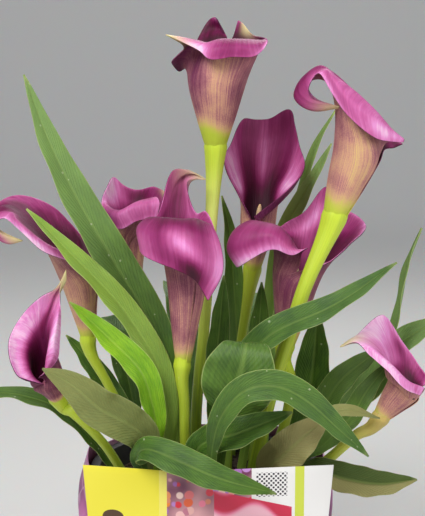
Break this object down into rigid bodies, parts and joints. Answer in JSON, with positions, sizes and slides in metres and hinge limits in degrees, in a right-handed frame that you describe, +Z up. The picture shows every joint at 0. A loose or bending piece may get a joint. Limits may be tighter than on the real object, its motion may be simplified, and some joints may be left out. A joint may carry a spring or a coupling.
{
  "type": "potted calla lily",
  "caption": "Potted calla lily with rolled purple blooms on tall stalks over lance-shaped leaves, in a filled pot with a paper cover and a folded card.",
  "frame": {"origin": "centre of the pot's flat underside", "axes": "+Z up along the pot's axis, -Y towards the front with the card, +X to the right seen from the front"},
  "size_m": [0.3415, 0.2958, 0.4411],
  "materials": {
    "pot": "satin",
    "soil": "rough peat mix",
    "cover_paper": "printed paper, satin",
    "card": "printed card, satin",
    "leaf_dark": "leaf, satin",
    "leaf_lime": "leaf, satin",
    "leaf_olive": "leaf underside, matt",
    "stalk": "plant stem, satin",
    "spathe": "petal, velvety",
    "spadix": "floret-covered, matt"
  },
  "bodies": {
    "root": {"pot": "pot", "soil": "soil", "pot_cover": "cover_paper", "label_card": "card", "leaf_01": "leaf_dark", "leaf_02": "leaf_lime", "leaf_03": "leaf_lime", "leaf_04": "leaf_olive", "leaf_05": "leaf_dark", "leaf_06": "leaf_dark", "leaf_07": "leaf_dark", "leaf_08": "leaf_dark", "leaf_09": "leaf_dark", "leaf_10": "leaf_olive", "leaf_11": "leaf_olive", "leaf_12": "leaf_olive", "leaf_13": "leaf_dark", "leaf_14": "leaf_lime", "leaf_15": "leaf_dark", "leaf_16": "leaf_dark", "leaf_17": "leaf_dark", "leaf_18": "leaf_dark", "leaf_19": "leaf_dark", "leaf_20": "leaf_dark", "leaf_21": "leaf_dark", "leaf_22": "leaf_dark", "leaf_23": "leaf_lime", "leaf_24": "leaf_dark", "leaf_25": "leaf_dark", "leaf_26": "leaf_dark", "leaf_27": "leaf_dark", "flower_stalk_1": "stalk", "spathe_1": "spathe", "spadix_1": "spadix", "flower_stalk_2": "stalk", "spathe_2": "spathe", "spadix_2": "spadix", "flower_stalk_3": "stalk", "spathe_3": "spathe", "spadix_3": "spadix", "flower_stalk_4": "stalk", "spathe_4": "spathe", "spadix_4": "spadix", "flower_stalk_5": "stalk", "spathe_5": "spathe", "spadix_5": "spadix", "flower_stalk_6": "stalk", "spathe_6": "spathe", "spadix_6": "spadix", "flower_stalk_7": "stalk", "spathe_7": "spathe", "spadix_7": "spadix", "flower_stalk_8": "stalk", "spathe_8": "spathe", "spadix_8": "spadix", "flower_stalk_9": "stalk", "spathe_9": "spathe", "spadix_9": "spadix"}
  },
  "joints": []
}
